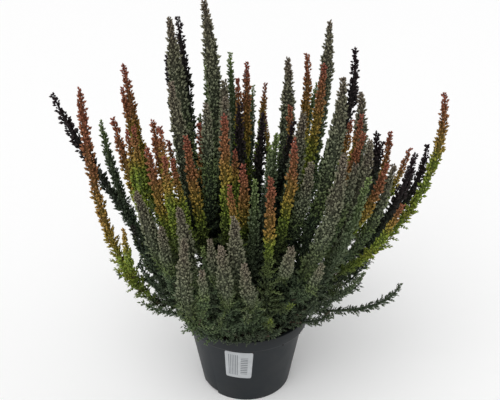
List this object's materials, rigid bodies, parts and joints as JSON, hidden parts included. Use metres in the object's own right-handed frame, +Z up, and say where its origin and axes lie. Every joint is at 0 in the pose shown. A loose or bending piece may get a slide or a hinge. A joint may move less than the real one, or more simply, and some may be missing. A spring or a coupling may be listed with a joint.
{
  "type": "potted heather",
  "caption": "Bushy heather of grey, red-tipped, dark and green leafy spikes in a black tapered nursery pot with a plain label.",
  "frame": {"origin": "middle of the pot's flat underside, on the pot's axis", "axes": "+Z up along the pot's axis, -Y towards the side with the label, +X to the right seen from there"},
  "size_m": [0.3583, 0.2818, 0.3931],
  "materials": {
    "pot": "satin",
    "peat": "matte",
    "label": "satin",
    "foliage_grey": "matte",
    "foliage_ember": "matte",
    "foliage_dark": "matte",
    "foliage_green": "matte"
  },
  "bodies": {
    "root": {"pot": "pot", "peat": "peat", "label": "label", "stem_grey_01": "foliage_grey", "stem_grey_02": "foliage_grey", "stem_grey_03": "foliage_grey", "stem_grey_04": "foliage_grey", "stem_grey_05": "foliage_grey", "stem_grey_06": "foliage_grey", "stem_grey_07": "foliage_grey", "stem_grey_08": "foliage_grey", "stem_grey_09": "foliage_grey", "stem_grey_10": "foliage_grey", "stem_grey_11": "foliage_grey", "stem_grey_12": "foliage_grey", "stem_grey_13": "foliage_grey", "stem_grey_14": "foliage_grey", "stem_grey_15": "foliage_grey", "stem_grey_16": "foliage_grey", "stem_grey_17": "foliage_grey", "stem_grey_18": "foliage_grey", "stem_ember_01": "foliage_ember", "stem_ember_02": "foliage_ember", "stem_ember_03": "foliage_ember", "stem_ember_04": "foliage_ember", "stem_ember_05": "foliage_ember", "stem_ember_06": "foliage_ember", "stem_ember_07": "foliage_ember", "stem_ember_08": "foliage_ember", "stem_ember_09": "foliage_ember", "stem_ember_10": "foliage_ember", "stem_ember_11": "foliage_ember", "stem_ember_12": "foliage_ember", "stem_ember_13": "foliage_ember", "stem_ember_14": "foliage_ember", "stem_ember_15": "foliage_ember", "stem_ember_16": "foliage_ember", "stem_ember_17": "foliage_ember", "stem_ember_18": "foliage_ember", "stem_dark_01": "foliage_dark", "stem_dark_02": "foliage_dark", "stem_dark_03": "foliage_dark", "stem_dark_04": "foliage_dark", "stem_dark_05": "foliage_dark", "stem_dark_06": "foliage_dark", "stem_dark_07": "foliage_dark", "stem_dark_08": "foliage_dark", "stem_dark_09": "foliage_dark", "stem_green_01": "foliage_green", "stem_green_02": "foliage_green", "stem_green_03": "foliage_green", "stem_green_04": "foliage_green", "stem_green_05": "foliage_green", "stem_green_06": "foliage_green", "stem_green_07": "foliage_green", "stem_green_08": "foliage_green", "stem_green_09": "foliage_green", "stem_green_10": "foliage_green", "stem_green_11": "foliage_green", "stem_green_12": "foliage_green"}
  },
  "joints": []
}
